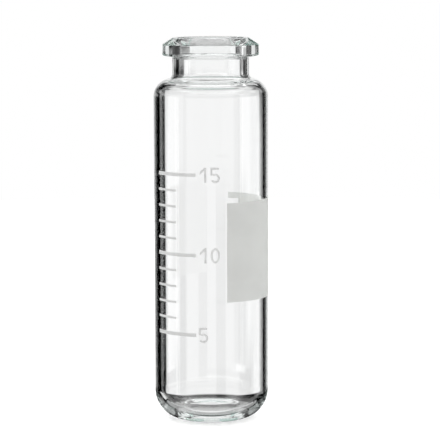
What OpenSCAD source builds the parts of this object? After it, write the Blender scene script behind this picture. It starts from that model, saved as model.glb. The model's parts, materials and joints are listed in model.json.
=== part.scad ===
// Clear glass headspace vial for a crimped cap, with a fired write-on patch and a volume scale.
// Frame: the axis is Z, the foot stands on Z = 0, and the front of the vial faces -Y.
// An azimuth is counted in degrees from the front towards +X.

/* [Body] */
// Height from the foot to the mouth
vial_h = 75.5; // [62:0.5:100]
// Outside diameter of the body
body_d = 22.5; // [21.8:0.1:30]
// Wall thickness of the body
body_wall = 1.15; // [0.8:0.05:1.8]

/* [Base] */
// Outside radius where the wall turns into the base
base_round = 5.6; // [4:0.1:7]
// Inside radius where the wall turns into the floor
floor_round = 4; // [2.5:0.1:6]
// Glass thickness from the foot's plane up to the inside floor
floor_t = 2; // [1.6:0.1:3.5]
// Width of the flat ring that the vial stands on
foot_w = 0.3; // [0.2:0.05:1.5]
// Height at its middle of the hollow pushed up inside that ring
punt_h = 0.7; // [0.1:0.05:1]
// Radius of the closing bead at the middle of the floor
bead_r = 2; // [1:0.1:3]
// Height of the closing bead
bead_h = 0.2; // [0.1:0.05:0.4]

/* [Shoulder] */
// Distance from the mouth down to the shoulder's edge at the body wall
shoulder_drop = 8.9; // [8:0.1:11]
// Fall of the shoulder from the neck outwards, in degrees
shoulder_slope = 18; // [12:1:26]
// Outside radius where the shoulder turns into the body
shoulder_round = 3.4; // [2:0.1:3.6]
// Inside radius where the shoulder turns into the body
shoulder_round_in = 2.3; // [1:0.1:2.6]
// Outside radius where the neck turns into the shoulder
neck_round = 0.8; // [0.6:0.1:1.6]
// Inside radius where the neck turns into the shoulder
neck_round_in = 2; // [1:0.1:2.8]
// Glass thickness of the shoulder
shoulder_t = 1.15; // [0.9:0.05:1.6]

/* [Neck and crimp flange] */
// Outside diameter of the neck
neck_d = 15.1; // [14.4:0.1:16.4]
// Diameter of the mouth's bore
bore_d = 12.6; // [12:0.1:13.4]
// Outside diameter of the crimp flange
flange_d = 19; // [18.6:0.1:20.2]
// Height of the flange's upright rim
rim_h = 2.15; // [1.6:0.05:2.6]
// Fall of the bevel from the mouth's land to the rim
bevel_h = 1.3; // [0.8:0.05:1.8]
// Outside diameter of the flat land round the mouth
land_d = 15; // [14.2:0.1:15.6]
// Rise of the flange's underside from the neck to the rim
underside_rise = 0.4; // [0:0.05:0.8]
// Rounding of the mouth's inner edge
lip_round = 0.5; // [0.1:0.05:0.6]
// Rounding of the land's outer edge
land_round = 0.3; // [0.1:0.05:0.8]
// Rounding of the rim's two edges
rim_round = 0.3; // [0.1:0.05:0.6]
// Rounding where the flange's underside meets the neck
underside_round = 0.3; // [0.1:0.05:0.6]

/* [Fired print] */
// Thickness of the fired enamel
print_t = 0.05; // [0.03:0.01:0.1]
// Height of the write-on patch's lower edge
patch_z = 24.6; // [10:0.1:26]
// Height of the write-on patch
patch_h = 19.4; // [12:0.1:24]
// Azimuth where the patch starts
patch_start = 16; // [12:1:30]
// Turn of the patch round the vial, in degrees
patch_turn = 132; // [90:1:150]
// Height of the tab at the patch's far end
tab_h = 1.2; // [1:0.1:3]
// Turn of that tab, in degrees
tab_turn = 13; // [5:1:20]

/* [Volume scale] */
// Lowest volume marked, in millilitres
first_ml = 5; // [4:1:8]
// Highest volume marked, in millilitres
last_ml = 15; // [10:1:15]
// Azimuth where the lines start
lines_start = -64; // [-75:1:-45]
// Turn of a numbered line, in degrees
long_turn = 49; // [35:1:50]
// Turn of a line between the numbered ones, in degrees
short_turn = 27; // [15:1:34]
// Thickness of a numbered line
long_line = 0.7; // [0.4:0.05:1]
// Thickness of a line between the numbered ones
short_line = 0.45; // [0.3:0.05:0.8]
// Height of the numerals
numeral_h = 3; // [2.4:0.1:3.4]
// Stroke of the numerals
numeral_line = 0.42; // [0.3:0.02:0.5]
// Gap beside each numeral
numeral_gap = 0.5; // [0.4:0.05:0.7]

/* [Hidden] */
$fn = 180;

body_r = body_d / 2;
hollow_r = body_r - body_wall;
punt_r = body_r - base_round - foot_w;
neck_r = neck_d / 2;
bore_r = bore_d / 2;
flange_r = flange_d / 2;
land_r = land_d / 2;
rim_top = vial_h - bevel_h;
rim_base = rim_top - rim_h;
shoulder_z = vial_h - shoulder_drop;
// The shoulder's outer and inner faces are two parallel cones, shoulder_t apart
shoulder_fall = tan(shoulder_slope);
shoulder_step = shoulder_t / cos(shoulder_slope);
function shoulder_at(r) = shoulder_z + (body_r - r) * shoulder_fall;
function shoulder_in_at(r) = shoulder_at(r) - shoulder_step;

// Half sections, anticlockwise from the axis: [radius, height, rounding] at each corner
outside = [
    [0, 0, 0],
    [body_r, 0, base_round],
    [body_r, shoulder_z, shoulder_round],
    [neck_r, shoulder_at(neck_r), neck_round],
    [neck_r, rim_base - underside_rise, underside_round],
    [flange_r, rim_base, rim_round],
    [flange_r, rim_top, rim_round],
    [land_r, vial_h, land_round],
    [0, vial_h, 0]
];
hollow = [
    [0, floor_t, 0],
    [hollow_r, floor_t, floor_round],
    [hollow_r, shoulder_in_at(hollow_r), shoulder_round_in],
    [bore_r, shoulder_in_at(bore_r), neck_round_in],
    [bore_r, vial_h, lip_round],
    [land_r, vial_h, 0],
    [land_r, vial_h + lip_round, 0],
    [0, vial_h + lip_round, 0]
];

// Radius of the sphere whose cap is cap_r wide and cap_h high
function cap_sphere(cap_r, cap_h) = (cap_r * cap_r + cap_h * cap_h) / (2 * cap_h);

function flat(corner) = [corner[0], corner[1]];
function way(from, to) = (flat(to) - flat(from)) / norm(flat(to) - flat(from));
function before(outline, i) = outline[(i + len(outline) - 1) % len(outline)];
function after(outline, i) = outline[(i + 1) % len(outline)];
function turn_at(outline, i) =
    let (a = way(before(outline, i), outline[i]), b = way(outline[i], after(outline, i)))
    atan2(a[0] * b[1] - a[1] * b[0], a * b);
// Distance from a corner to the points where its rounding starts and ends
function setback(outline, i) = outline[i][2] * tan(abs(turn_at(outline, i)) / 2);
function rounding_start(outline, i) =
    flat(outline[i]) - setback(outline, i) * way(before(outline, i), outline[i]);
function rounding_end(outline, i) =
    flat(outline[i]) + setback(outline, i) * way(outline[i], after(outline, i));
function rounding_centre(outline, i) =
    let (a = way(before(outline, i), outline[i]), side = sign(turn_at(outline, i)))
    rounding_start(outline, i) + outline[i][2] * side * [-a[1], a[0]];

// Half of a turned shape, with a true arc at each corner that has a rounding
module rounded(outline) {
    corners = [for (i = [0 : len(outline) - 1]) if (outline[i][2] > 0) i];
    points = [for (i = [0 : len(outline) - 1])
        each outline[i][2] > 0 ? [rounding_start(outline, i), rounding_end(outline, i)] : [flat(outline[i])]];
    difference() {
        union() {
            polygon(points);
            for (i = corners)
                if (turn_at(outline, i) > 0)
                    intersection() {
                        translate(rounding_centre(outline, i)) circle(outline[i][2]);
                        square([body_d, 2 * vial_h]);
                    }
        }
        for (i = corners)
            if (turn_at(outline, i) < 0)
                translate(rounding_centre(outline, i)) circle(outline[i][2]);
    }
}

// A shallow cap of a sphere, standing on height z
module cap(z, cap_r, cap_h) {
    sphere_r = cap_sphere(cap_r, cap_h);
    intersection() {
        translate([0, z + cap_h - sphere_r]) circle(sphere_r);
        translate([0, z]) square([cap_r, cap_h]);
    }
}

module vial() {
    color([0.86, 0.93, 0.92, 0.45])
        rotate_extrude() {
            difference() {
                rounded(outside);
                rounded(hollow);
                cap(0, punt_r, punt_h);
            }
            cap(floor_t, bead_r, bead_h);
        }
}

// A strip of enamel on the body wall: from azimuth start, turning round by turn
module strip(start, turn, z, h) {
    rotate([0, 0, start - 90])
        rotate_extrude(angle = turn)
            translate([body_r, z]) square([print_t, h]);
}

// The patch runs on at its upper edge as a narrow tab
module writing_patch() {
    color([0.84, 0.84, 0.82])
        difference() {
            strip(patch_start, patch_turn + tab_turn, patch_z, patch_h);
            rotate([0, 0, patch_start + patch_turn - 90])
                rotate_extrude(angle = tab_turn + 1)
                    translate([body_r - print_t, patch_z - print_t])
                        square([3 * print_t, patch_h + print_t - tab_h]);
        }
}

// What the rounded corner takes away from a plain cylinder's volume, in cubic millimetres
corner_r = hollow_r - floor_round;
corner_loss = PI * ((hollow_r ^ 2 - corner_r ^ 2) * floor_round
    - corner_r * PI * floor_round ^ 2 / 2 - 2 / 3 * floor_round ^ 3);
mm3_per_ml = 1000;
function level(ml) = floor_t + (mm3_per_ml * ml + corner_loss) / (PI * hollow_r ^ 2);

numbered_every = 5;
numeral_w = 0.62 * numeral_h;
flag_h = 0.3 * numeral_h;
// The five's bowl opens at its lower left, between these two angles
bowl_from = -150;
bowl_to = 135;
arc_steps = 12;

function arc(centre, rx, ry, from, to) = [
    for (i = [0 : arc_steps])
        let (a = from + (to - from) * i / arc_steps)
        centre + [rx * cos(a), ry * sin(a)]
];

// A curved stroke along part of an oval
module bow(centre, rx, ry, from, to) {
    polygon(concat(
        arc(centre, rx, ry, from, to),
        arc(centre, rx - numeral_line, ry - numeral_line, to, from)
    ));
}

module zero() {
    middle = [numeral_w, numeral_h] / 2;
    for (start = [-90, 90])
        bow(middle, middle[0], middle[1], start, start + 180);
}

module one() {
    stem_x = (numeral_w + flag_h - numeral_line) / 2;
    flag_edge = numeral_line * sqrt(2);
    translate([stem_x, 0]) square([numeral_line, numeral_h]);
    polygon([
        [stem_x, numeral_h],
        [stem_x - flag_h, numeral_h - flag_h],
        [stem_x - flag_h, numeral_h - flag_h - flag_edge],
        [stem_x, numeral_h - flag_edge]
    ]);
}

module five() {
    bowl_r = numeral_w / 2;
    stem_y = 1.6 * bowl_r;
    translate([0, numeral_h - numeral_line]) square([numeral_w - numeral_line / 2, numeral_line]);
    translate([0, stem_y]) square([numeral_line, numeral_h - stem_y]);
    bow([bowl_r, bowl_r], bowl_r, bowl_r, bowl_from, bowl_to);
}

module numeral(digit) {
    if (digit == 0) zero();
    if (digit == 1) one();
    if (digit == 5) five();
}

// Lays a flat shape that is w wide on the body wall as enamel, its middle at azimuth
module on_wall(azimuth, z, w) {
    reach = body_r + 2 * print_t;
    intersection() {
        translate([0, 0, z]) difference() {
            cylinder(h = numeral_h, r = body_r + print_t);
            cylinder(h = numeral_h, r = body_r);
        }
        rotate([0, 0, azimuth]) translate([-w / 2, 0, z]) rotate([90, 0, 0])
            linear_extrude(reach) children();
    }
}

function turn_of(arc) = arc / body_r * 180 / PI;

module scale_marks() {
    color([0.92, 0.92, 0.9])
        for (ml = [first_ml : last_ml]) {
            numbered = ml % numbered_every == 0;
            line = numbered ? long_line : short_line;
            strip(lines_start, numbered ? long_turn : short_turn, level(ml) - line / 2, line);
            digits = str(ml);
            if (numbered)
                for (i = [0 : len(digits) - 1])
                    on_wall(
                        lines_start + long_turn + turn_of((i + 1) * numeral_gap + (i + 0.5) * numeral_w),
                        level(ml) - numeral_h / 2,
                        numeral_w
                    ) numeral(ord(digits[i]) - ord("0"));
        }
}

vial();
writing_patch();
scale_marks();
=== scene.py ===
"""Clear glass headspace vial with a write-on patch and a volume scale, on a pale floor."""

import json
import math

import bmesh
import bpy
from mathutils import Matrix, Vector


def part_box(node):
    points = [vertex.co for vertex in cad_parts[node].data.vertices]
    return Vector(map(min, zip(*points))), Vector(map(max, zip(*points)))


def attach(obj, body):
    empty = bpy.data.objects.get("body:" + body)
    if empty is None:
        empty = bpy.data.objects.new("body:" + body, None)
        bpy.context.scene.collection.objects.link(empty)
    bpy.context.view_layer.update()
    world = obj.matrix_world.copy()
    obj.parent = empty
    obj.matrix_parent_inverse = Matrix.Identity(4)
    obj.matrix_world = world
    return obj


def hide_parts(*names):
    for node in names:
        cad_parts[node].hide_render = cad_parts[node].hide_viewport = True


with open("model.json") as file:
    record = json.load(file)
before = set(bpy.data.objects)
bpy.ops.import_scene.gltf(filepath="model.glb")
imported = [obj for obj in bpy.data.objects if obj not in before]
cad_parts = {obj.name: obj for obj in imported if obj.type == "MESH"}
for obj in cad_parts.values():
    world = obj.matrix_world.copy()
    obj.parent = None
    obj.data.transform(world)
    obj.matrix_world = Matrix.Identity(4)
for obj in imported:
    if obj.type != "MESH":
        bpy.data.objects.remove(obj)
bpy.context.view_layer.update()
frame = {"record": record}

MM = 0.001
WHITE = (1, 1, 1, 1)

# ---------------------------------------------------------------- dimensions, in millimetres

vial_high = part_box("vial")[1]
mounts = {mount["name"]: mount["dims"] for mount in frame["record"]["mounts"]}

# Body and base
VIAL_H = vial_high.z / MM
BODY_R = vial_high.x / MM
BODY_WALL = 1.15
HOLLOW_R = BODY_R - BODY_WALL
BASE_ROUND = 5.6
FLOOR_ROUND = 4
FLOOR_T = 2
FOOT_W = 0.3
PUNT_R = BODY_R - BASE_ROUND - FOOT_W
PUNT_H = 0.7
BEAD_R = 2
BEAD_H = 0.2

# Shoulder and neck
SHOULDER_DROP = 8.9
SHOULDER_Z = VIAL_H - SHOULDER_DROP
SHOULDER_SLOPE = math.radians(18)
SHOULDER_ROUND = 3.4
SHOULDER_ROUND_IN = 2.3
SHOULDER_T = 1.15
NECK_R = 7.55
NECK_ROUND = 0.8
NECK_ROUND_IN = 2

# Mouth and crimp flange
BORE_R = mounts["mouth"]["r_mm"]
FLANGE_R = mounts["crimp_flange"]["r_mm"]
LAND_R = 7.5
BEVEL_H = 1.3
RIM_H = 2.15
RIM_TOP = VIAL_H - BEVEL_H
RIM_BASE = RIM_TOP - RIM_H
UNDERSIDE_RISE = 0.4
EDGE_ROUND = 0.3
LIP_ROUND = 0.5

# Write-on patch. The enamel is fused a little way into the glass
FUSED = 0.02
PRINT_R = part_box("writing_patch")[1].x / MM
PRINT_IN_R = BODY_R - FUSED
PATCH_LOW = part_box("writing_patch")[0].z / MM
PATCH_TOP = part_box("writing_patch")[1].z / MM
PATCH_START = 16
PATCH_TURN = 132
TAB_H = 1.2
TAB_TURN = 13

# Volume scale
FIRST_ML = 5
LAST_ML = 15
MM3_PER_ML = 1000
NUMBERED_EVERY = 5
LINES_START = -64
LONG_TURN = 49
SHORT_TURN = 27
LONG_LINE = 0.7
SHORT_LINE = 0.45
NUMERAL_H = 3
NUMERAL_W = 0.62 * NUMERAL_H
NUMERAL_LINE = 0.42
NUMERAL_GAP = 0.5
# The five's bowl starts at its lower tail and turns round to its stem
BOWL_START = 150
BOWL_TURN = 275

# Floor
TABLE_R = 400


# ---------------------------------------------------------------- modelling

# Points closer together than this are merged into one
MERGE = 0.0005
# Fineness of a rounding, the turned glass, the enamel's sweep, the round strokes and the floor
SEGMENT_TURN = math.radians(4)
FEWEST_SEGMENTS = 8
GLASS_STEPS = 360
STEP_DEGREES = 1
ZERO_SEGMENTS = 40
BOWL_STEPS = 28
TABLE_SEGMENTS = 96


def place(name, shape, material, *, smooth):
    """Turns a bmesh in millimetres into an object of the material."""
    bmesh.ops.remove_doubles(shape, verts=shape.verts, dist=MERGE)
    bmesh.ops.recalc_face_normals(shape, faces=shape.faces)
    bmesh.ops.scale(shape, vec=(MM, MM, MM), verts=shape.verts)
    mesh = bpy.data.meshes.new(name)
    shape.to_mesh(mesh)
    shape.free()
    if smooth:
        mesh.shade_smooth()
    else:
        mesh.shade_flat()
    mesh.materials.append(material)
    piece = bpy.data.objects.new(name, mesh)
    bpy.context.scene.collection.objects.link(piece)
    return piece


def only(kind, parts):
    return [part for part in parts if isinstance(part, kind)]


def sweep(shape, geom, turn, steps, *, centre=(0, 0, 0), axis=(0, 0, 1), closed=False):
    """Turns geometry about an axis and returns what lies at the far end."""
    swept = bmesh.ops.spin(
        shape, geom=geom, cent=centre, axis=axis, dvec=(0, 0, 0), angle=turn, steps=steps,
        use_merge=closed, use_normal_flip=False, use_duplicate=False,
    )
    return swept["geom_last"]


def corner_turn(before, corner, after):
    """Angle between the two edges that meet at a corner of an outline."""
    return (corner.co - before.co).angle(after.co - corner.co)


def outline_wire(shape, outline):
    """Draws [radius, height, rounding] corners as a wire, with an arc at each rounded corner."""
    corners = [shape.verts.new((radius, 0, height)) for radius, height, _ in outline]
    for start, end in zip(corners, corners[1:]):
        shape.edges.new((start, end))
    turns = [corner_turn(*corners[i - 1:i + 2]) for i in range(1, len(outline) - 1)]
    for corner, turn, (_, _, rounding) in zip(corners[1:-1], turns, outline[1:-1]):
        if rounding:
            bmesh.ops.bevel(
                shape, geom=[corner], offset=rounding * math.tan(turn / 2), offset_type="OFFSET",
                affect="VERTICES", segments=max(FEWEST_SEGMENTS, round(turn / SEGMENT_TURN)),
                profile=0.5, material=-1, clamp_overlap=False,
            )


def dome(radius, height):
    """Radius where a shallow dome's end tangents cross, and the dome's own sphere radius."""
    sphere = (radius ** 2 + height ** 2) / (2 * height)
    return sphere * math.tan(math.asin(radius / sphere) / 2), sphere


def shoulder_at(radius):
    return SHOULDER_Z + (BODY_R - radius) * math.tan(SHOULDER_SLOPE)


def shoulder_in_at(radius):
    return shoulder_at(radius) - SHOULDER_T / math.cos(SHOULDER_SLOPE)


def glass_outline():
    punt_corner, punt_sphere = dome(PUNT_R, PUNT_H)
    bead_corner, bead_sphere = dome(BEAD_R, BEAD_H)
    return [
        (0, PUNT_H, 0),
        (punt_corner, PUNT_H, punt_sphere),
        (PUNT_R, 0, 0),
        (BODY_R, 0, BASE_ROUND),
        (BODY_R, SHOULDER_Z, SHOULDER_ROUND),
        (NECK_R, shoulder_at(NECK_R), NECK_ROUND),
        (NECK_R, RIM_BASE - UNDERSIDE_RISE, EDGE_ROUND),
        (FLANGE_R, RIM_BASE, EDGE_ROUND),
        (FLANGE_R, RIM_TOP, EDGE_ROUND),
        (LAND_R, VIAL_H, EDGE_ROUND),
        (BORE_R, VIAL_H, LIP_ROUND),
        (BORE_R, shoulder_in_at(BORE_R), NECK_ROUND_IN),
        (HOLLOW_R, shoulder_in_at(HOLLOW_R), SHOULDER_ROUND_IN),
        (HOLLOW_R, FLOOR_T, FLOOR_ROUND),
        (BEAD_R, FLOOR_T, 0),
        (bead_corner, FLOOR_T + BEAD_H, bead_sphere),
        (0, FLOOR_T + BEAD_H, 0),
    ]


def blown_glass(material):
    shape = bmesh.new()
    outline_wire(shape, glass_outline())
    sweep(shape, shape.verts[:] + shape.edges[:], math.tau, GLASS_STEPS, closed=True)
    glass = place("glass_vial", shape, material, smooth=True)
    weighted = glass.modifiers.new("even_normals", "WEIGHTED_NORMAL")
    weighted.mode = "FACE_AREA"
    weighted.weight = 100
    return glass


def turn_section(shape, faces, degrees):
    """Sweeps section faces round the vial and returns the faces at the far end."""
    geom = list({part for face in faces for part in [face, *face.edges, *face.verts]})
    last = sweep(shape, geom, math.radians(degrees), math.ceil(degrees / STEP_DEGREES))
    return only(bmesh.types.BMFace, last)


def enamel_section(shape, azimuth, heights):
    """Stacked faces across the enamel's thickness, one between each two heights."""
    facing = Matrix.Rotation(math.radians(azimuth), 3, "Z")
    rungs = [
        [shape.verts.new(facing @ Vector((0, -radius, height))) for radius in (PRINT_IN_R, PRINT_R)]
        for height in heights
    ]
    return [
        shape.faces.new((*lower, *reversed(upper)))
        for lower, upper in zip(rungs, rungs[1:])
    ]


def write_on_patch(material):
    shape = bmesh.new()
    section = enamel_section(shape, PATCH_START, (PATCH_LOW, PATCH_TOP - TAB_H, PATCH_TOP))
    ends = turn_section(shape, section, PATCH_TURN)
    tab = max(ends, key=lambda face: face.calc_center_median().z)
    turn_section(shape, [tab], TAB_TURN)
    return place("write_on_patch", shape, material, smooth=False)


def level(ml):
    """Height at which the vial holds this many millilitres."""
    # The rounding where the wall turns into the floor takes this volume from a plain cylinder
    corner_r = HOLLOW_R - FLOOR_ROUND
    corner_loss = math.pi * (
        (HOLLOW_R ** 2 - corner_r ** 2) * FLOOR_ROUND
        - corner_r * math.pi * FLOOR_ROUND ** 2 / 2 - 2 / 3 * FLOOR_ROUND ** 3
    )
    return FLOOR_T + (MM3_PER_ML * ml + corner_loss) / (math.pi * HOLLOW_R ** 2)


def draw_zero(shape):
    middle = Matrix.Translation((NUMERAL_W / 2, 0, NUMERAL_H / 2))
    upright = Matrix.Rotation(math.pi / 2, 4, "X")
    for inset in (0, NUMERAL_LINE):
        oval = Matrix.Diagonal((NUMERAL_W / 2 - inset, NUMERAL_H / 2 - inset, 1, 1))
        bmesh.ops.create_circle(
            shape, cap_ends=False, radius=1, segments=ZERO_SEGMENTS, matrix=middle @ upright @ oval,
        )
    bmesh.ops.bridge_loops(shape, edges=shape.edges)


def draw_face(shape, points):
    return shape.faces.new([shape.verts.new((x, 0, z)) for x, z in points])


def draw_one(shape):
    flag = 0.3 * NUMERAL_H
    stem = (NUMERAL_W + flag - NUMERAL_LINE) / 2
    edge = NUMERAL_LINE * math.sqrt(2)
    draw_face(shape, [
        (stem, 0), (stem + NUMERAL_LINE, 0), (stem + NUMERAL_LINE, NUMERAL_H), (stem, NUMERAL_H),
        (stem - flag, NUMERAL_H - flag), (stem - flag, NUMERAL_H - flag - edge),
        (stem, NUMERAL_H - edge),
    ])


def draw_five(shape):
    bowl_r = NUMERAL_W / 2
    stem_z = 1.6 * bowl_r
    top = NUMERAL_H - NUMERAL_LINE
    bar_end = NUMERAL_W - NUMERAL_LINE / 2
    centre = Vector((bowl_r, 0, bowl_r))
    start = Matrix.Rotation(math.radians(BOWL_START), 3, "Y")
    rim, inner = (
        shape.verts.new(centre + start @ Vector((radius, 0, 0)))
        for radius in (bowl_r, bowl_r - NUMERAL_LINE)
    )
    tail = [rim, inner, shape.edges.new((rim, inner))]
    last = sweep(shape, tail, math.radians(BOWL_TURN), BOWL_STEPS, centre=centre, axis=(0, -1, 0))
    ends = only(bmesh.types.BMVert, last)
    inner_end, rim_end = sorted(ends, key=lambda vert: (vert.co - centre).length)
    # The bowl's outer edge ends on the stem
    rim_end.co.x = NUMERAL_LINE
    foot, heel, neck, corner = (
        shape.verts.new((x, 0, z))
        for x, z in ((0, stem_z), (NUMERAL_LINE, stem_z), (NUMERAL_LINE, top), (0, top))
    )
    shape.faces.new((inner_end, rim_end, heel))
    shape.faces.new((foot, heel, rim_end, neck, corner))
    bar = [
        shape.verts.new((x, 0, z))
        for x, z in ((bar_end, top), (bar_end, NUMERAL_H), (0, NUMERAL_H))
    ]
    shape.faces.new((corner, neck, *bar))


DIGITS = {"0": draw_zero, "1": draw_one, "5": draw_five}


def wrap_numeral(shape, digit, azimuth, height):
    """Draws a numeral flat, thickens it and bends it round the wall, its middle at azimuth."""
    numeral = bmesh.new()
    DIGITS[digit](numeral)
    bmesh.ops.recalc_face_normals(numeral, faces=numeral.faces)
    grown = bmesh.ops.extrude_face_region(numeral, geom=numeral.faces[:], use_keep_orig=True)
    front = only(bmesh.types.BMVert, grown["geom"])
    bmesh.ops.translate(numeral, vec=(0, PRINT_IN_R - PRINT_R, 0), verts=front)
    for vert in numeral.verts:
        bend = Matrix.Rotation((vert.co.x - NUMERAL_W / 2) / BODY_R + math.radians(azimuth), 3, "Z")
        vert.co = bend @ Vector((0, vert.co.y - PRINT_IN_R, vert.co.z + height - NUMERAL_H / 2))
    scratch = bpy.data.meshes.new("numeral")
    numeral.to_mesh(scratch)
    numeral.free()
    shape.from_mesh(scratch)
    bpy.data.meshes.remove(scratch)


def volume_scale(material):
    shape = bmesh.new()
    for ml in range(FIRST_ML, LAST_ML + 1):
        numbered = ml % NUMBERED_EVERY == 0
        line = LONG_LINE if numbered else SHORT_LINE
        turn = LONG_TURN if numbered else SHORT_TURN
        section = enamel_section(shape, LINES_START, (level(ml) - line / 2, level(ml) + line / 2))
        turn_section(shape, section, turn)
        if numbered:
            for i, digit in enumerate(str(ml)):
                along = (i + 1) * NUMERAL_GAP + (i + 0.5) * NUMERAL_W
                azimuth = LINES_START + LONG_TURN + math.degrees(along / BODY_R)
                wrap_numeral(shape, digit, azimuth, level(ml))
    return place("volume_scale", shape, material, smooth=False)


# ---------------------------------------------------------------- shader nodes


class Wire:
    """A node's output. Sums, differences and products of wires add Math nodes."""

    def __init__(self, graph, socket):
        self.graph = graph
        self.socket = socket

    def other(self, name):
        """Another output of the same node."""
        return Wire(self.graph, self.socket.node.outputs[name])

    def __add__(self, term):
        return self.graph.maths("ADD", self, term)

    def __sub__(self, term):
        return self.graph.maths("SUBTRACT", self, term)

    def __rsub__(self, term):
        return self.graph.maths("SUBTRACT", term, self)

    def __mul__(self, factor):
        return self.graph.maths("MULTIPLY", self, factor)

    __radd__ = __add__
    __rmul__ = __mul__


class Graph:
    """The nodes of one material or world."""

    def __init__(self, tree):
        self.tree = tree
        tree.nodes.clear()

    def node(self, kind, settings, sockets):
        """Adds a node with its settings first, then the values or wires of its sockets."""
        made = self.tree.nodes.new(kind)
        for name, value in settings.items():
            setattr(made, name, value)
        for name, value in sockets.items():
            if isinstance(value, Wire):
                self.tree.links.new(value.socket, made.inputs[name])
            else:
                made.inputs[name].default_value = value
        return Wire(self, made.outputs[0]) if made.outputs else None

    def maths(self, operation, *values):
        return self.node("ShaderNodeMath", {"operation": operation}, dict(enumerate(values)))

    def ramp(self, value, start, end):
        """Rises smoothly from 0 to 1 as value goes from start to end."""
        return self.node("ShaderNodeMapRange", {"interpolation_type": "SMOOTHSTEP"}, {
            "Value": value, "From Min": start, "From Max": end, "To Min": 0.0, "To Max": 1.0,
        })

    def noise(self, position, scale, detail):
        return self.node("ShaderNodeTexNoise", {"noise_dimensions": "3D"}, {
            "Vector": position, "Scale": scale, "Detail": detail, "Roughness": 0.55,
        })

    def mix(self, factor, a, b):
        """Mixes two colours."""
        mixed = self.node("ShaderNodeMix", {"data_type": "RGBA"}, {0: factor, 6: a, 7: b})
        return Wire(self, mixed.socket.node.outputs[2])


def material_graph(name):
    material = bpy.data.materials.new(name)
    material.use_nodes = True
    return material, Graph(material.node_tree)


def object_position(graph, stretch=(1, 1, 1)):
    """Object coordinates in millimetres, squeezed or stretched along each axis."""
    position = graph.node("ShaderNodeTexCoord", {}, {}).other("Object")
    return graph.node("ShaderNodeMapping", {"vector_type": "POINT"}, {
        "Vector": position, "Scale": [share / MM for share in stretch],
    })


# ---------------------------------------------------------------- materials

GLASS_IOR = 1.5
COOL_TINT = (0.72, 0.93, 0.88, 1)
# Absorption in each metre of glass
TINT_DENSITY = 12.0
# Draw lines are about 2 mm wide and as long as the wall
DRAW_LINE_STRETCH = (0.5, 0.5, 0.012)

PATCH_COLOUR = (0.95, 0.955, 0.94)
SCALE_COLOUR = (0.97, 0.97, 0.965)
# Share of the light that passes through the enamel instead of turning back
ENAMEL_THROUGH = 0.7
# Share of its colour that the enamel keeps where it is darkest
ENAMEL_DARKEST = 0.96
# Share of its unevenness that is broad cloud and not fine grain
CLOUD_SHARE = 0.7
# The enamel is darkest where the unevenness is at the low value, and lightest at the high one
UNEVEN_LOW = 0.3
UNEVEN_HIGH = 0.7

# The floor's own light keeps it white under the vial
FLOOR_GLOW = 0.25


def clear_glass():
    """Neutral tubing glass: faint draw lines along the wall, and a cool tint where it is thick."""
    material, graph = material_graph("clear_glass")
    draw_lines = graph.noise(object_position(graph, DRAW_LINE_STRETCH), scale=1.0, detail=2.0)
    bump = graph.node("ShaderNodeBump", {}, {
        "Strength": 0.006, "Distance": 0.03 * MM, "Height": draw_lines,
    })
    glass = graph.node("ShaderNodeBsdfPrincipled", {}, {
        "Base Color": WHITE, "Roughness": 0.0, "IOR": GLASS_IOR, "Transmission Weight": 1.0,
        "Normal": bump,
    })
    tint = graph.node("ShaderNodeVolumeAbsorption", {}, {
        "Color": COOL_TINT, "Density": TINT_DENSITY,
    })
    graph.node("ShaderNodeOutputMaterial", {}, {"Surface": glass, "Volume": tint})
    return material


def ceramic_enamel(name, colour):
    """Matt ceramic print, a little uneven, that lets some light through."""
    material, graph = material_graph(name)
    position = object_position(graph)
    cloud = graph.noise(position, scale=0.25, detail=3.0)
    grain = graph.noise(position, scale=9.0, detail=2.0)
    uneven = cloud * CLOUD_SHARE + grain * (1 - CLOUD_SHARE)
    shade = graph.ramp(uneven, UNEVEN_LOW, UNEVEN_HIGH)
    dark = (*[share * ENAMEL_DARKEST for share in colour], 1)
    paint = graph.mix(shade, dark, (*colour, 1))
    bump = graph.node("ShaderNodeBump", {}, {
        "Strength": 0.25, "Distance": 0.01 * MM, "Height": grain,
    })
    front = graph.node("ShaderNodeBsdfPrincipled", {}, {
        "Base Color": paint, "Roughness": 0.6, "Normal": bump,
    })
    back = graph.node("ShaderNodeBsdfTranslucent", {}, {"Color": paint, "Normal": bump})
    surface = graph.node("ShaderNodeMixShader", {}, {0: ENAMEL_THROUGH, 1: front, 2: back})
    graph.node("ShaderNodeOutputMaterial", {}, {"Surface": surface})
    return material


def pale_floor():
    material, graph = material_graph("pale_floor")
    floor = graph.node("ShaderNodeBsdfPrincipled", {}, {
        "Base Color": (0.8, 0.8, 0.8, 1), "Roughness": 0.9, "Specular IOR Level": 0.0,
        "Emission Color": WHITE, "Emission Strength": FLOOR_GLOW,
    })
    graph.node("ShaderNodeOutputMaterial", {}, {"Surface": floor})
    return material


# ---------------------------------------------------------------- studio

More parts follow.
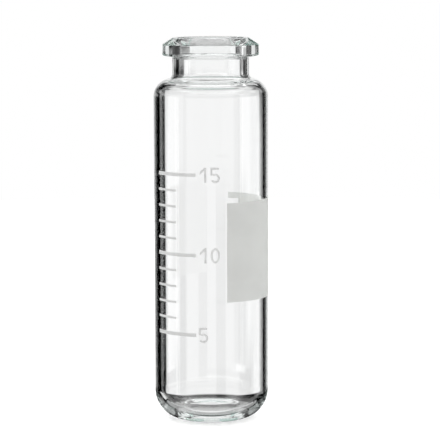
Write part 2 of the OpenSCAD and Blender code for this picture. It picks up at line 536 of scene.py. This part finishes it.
# Cards and black flags round the vial: azimuth from and to, elevation from and to, brightness.
# An azimuth is counted from +Y, straight behind the vial, towards +X. Each card covers what the
# list gives before it, and the room shows where there is none.
ROOM = 0.5
FLAG = 0.0
STUDIO = [
    # The light overhead, with its bright panel
    (-180, 180, 40, 90, 0.7),
    (-30, 35, 40, 60, 2.2),
    # The table: dim below, and bright in front and at both sides
    (-180, 180, -90, -35, 0.85),
    (105, 255, -45, -20, 2.0),
    (-125, -60, -65, -45, 2.5),
    (60, 110, -60, -45, 2.5),
    # The black surround of the backdrop, and what shows dimly in it
    (-60, 50, -40, 40, FLAG),
    (-20, 25, 20, 45, 0.8),
    (-60, -35, 8, 16, 0.4),
    (35, 60, 8, 24, 0.4),
    (-45, 40, -60, -35, 0.4),
    # The black legs of the table, and the gap under the light overhead
    (-110, -55, -45, -8, FLAG),
    (45, 125, -45, -8, FLAG),
    (70, 290, 8, 20, FLAG),
    # Soft boxes at the left, at the right and in front
    (-130, -95, -15, 2, 3.0),
    (50, 85, -12, -4, 1.7),
    (65, 115, -10, 4, 1.7),
    (120, 240, -15, 0, 1.0),
    # A dim card at the height of the flange
    (-35, -13, -3, 2, 0.3),
    # The backdrop, with a narrow step above it
    (-13, 18, -20, 10, 0.91),
    (-8, 8, 10, 18, 0.85),
    # A backdrop for the look from the front right corner
    (-57, -33, -33, -18, 0.92),
    # A backdrop with dark edges for the look from the right
    (-126, -107, -12, 8, 0.2),
    (-76, -60, -12, 8, FLAG),
    (-104, -76, -12, 8, 0.95),
    # A backdrop with black edges for the look from behind
    (100, 170, -24, -6, FLAG),
    (120, 150, -24, -6, 1.0),
]
# Degrees over which a card fades, to either side of its edge
SOFT_EDGE = 1
FULL_TURN = 360
# Soft light on matt surfaces, and where along Y it turns from the front one into the back one
FILL_FRONT = 1.3
FILL_BACK = 2.5
FILL_START = -0.3


def between(graph, value, start, end):
    """1 where value lies between start and end, with soft edges."""
    past_start = graph.ramp(value, start - SOFT_EDGE, start + SOFT_EDGE)
    past_end = graph.ramp(value, end - SOFT_EDGE, end + SOFT_EDGE)
    return past_start * (1 - past_end)


def studio_cards(graph, azimuth, elevation):
    """Brightness of the studio in each direction."""
    light = ROOM
    for left, right, bottom, top, brightness in STUDIO:
        card = between(graph, azimuth, left, right)
        if right > FULL_TURN / 2:
            card = card + between(graph, azimuth, left - FULL_TURN, right - FULL_TURN)
        card = card * between(graph, elevation, bottom, top)
        light = light + card * (brightness - light)
    return light


def studio_light():
    """The cards that the glass shows, and an even soft light for all that is matt."""
    world = bpy.data.worlds.new("studio")
    world.use_nodes = True
    world.cycles.sampling_method = "NONE"
    bpy.context.scene.world = world
    graph = Graph(world.node_tree)
    direction = graph.node("ShaderNodeTexCoord", {}, {}).other("Generated")
    x = graph.node("ShaderNodeSeparateXYZ", {}, {"Vector": direction})
    y, z = x.other("Y"), x.other("Z")
    azimuth = graph.maths("DEGREES", graph.maths("ARCTAN2", x, y))
    elevation = graph.maths("DEGREES", graph.maths("ARCSINE", z))
    light = studio_cards(graph, azimuth, elevation)

    # Matt surfaces, and glass seen from them, get the soft light. The camera sees plain white
    paths = graph.node("ShaderNodeLightPath", {}, {})
    matt = graph.maths("MAXIMUM", paths.other("Is Diffuse Ray"), graph.maths(
        "MINIMUM", paths.other("Diffuse Depth"), 1,
    ))
    soft = FILL_FRONT + (FILL_BACK - FILL_FRONT) * graph.ramp(y, FILL_START, 1)
    light = light + matt * (soft - light)
    light = light + paths.other("Is Camera Ray") * (1 - light)
    background = graph.node("ShaderNodeBackground", {}, {"Color": WHITE, "Strength": light})
    graph.node("ShaderNodeOutputWorld", {}, {"Surface": background})


def table_top():
    """Plain floor with a soft shadow, which the glass doesn't show."""
    shape = bmesh.new()
    bmesh.ops.create_circle(shape, cap_ends=True, radius=TABLE_R, segments=TABLE_SEGMENTS)
    floor = place("floor", shape, pale_floor(), smooth=False)
    floor.visible_transmission = False
    floor.visible_glossy = False


# The camera's place, what it looks at and its lens, in millimetres, and its roll in degrees
CAMERA_AT = (1.75, -445, 92.5)
CAMERA_AIM = (1.75, 0, 39.46)
LENS = 185.3
SENSOR_W = 36
CAMERA_ROLL = -0.16


def camera():
    data = bpy.data.cameras.new("camera")
    data.lens = LENS
    data.sensor_width = SENSOR_W
    eye = bpy.data.objects.new("camera", data)
    at = Vector(CAMERA_AT) * MM
    aim = Vector(CAMERA_AIM) * MM
    look = (aim - at).to_track_quat("-Z", "Y").to_matrix().to_4x4()
    roll = Matrix.Rotation(math.radians(CAMERA_ROLL), 4, "Z")
    eye.matrix_world = Matrix.Translation(at) @ look @ roll
    bpy.context.scene.collection.objects.link(eye)
    bpy.context.scene.camera = eye


# ---------------------------------------------------------------- the scene

# Light turns back many times inside the thick corners of the base
LIGHT_BOUNCES = 64

camera()
studio_light()
table_top()

scene = bpy.context.scene
scene.view_settings.view_transform = "Standard"
scene.cycles.max_bounces = LIGHT_BOUNCES
scene.cycles.transmission_bounces = LIGHT_BOUNCES
scene.cycles.glossy_bounces = LIGHT_BOUNCES

vial = blown_glass(clear_glass())
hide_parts("vial")

patch = write_on_patch(ceramic_enamel("fired_enamel", PATCH_COLOUR))
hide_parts("writing_patch")

marks = volume_scale(ceramic_enamel("white_enamel", SCALE_COLOUR))
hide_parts("scale_marks")

for piece in (vial, patch, marks):
    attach(piece, "root")
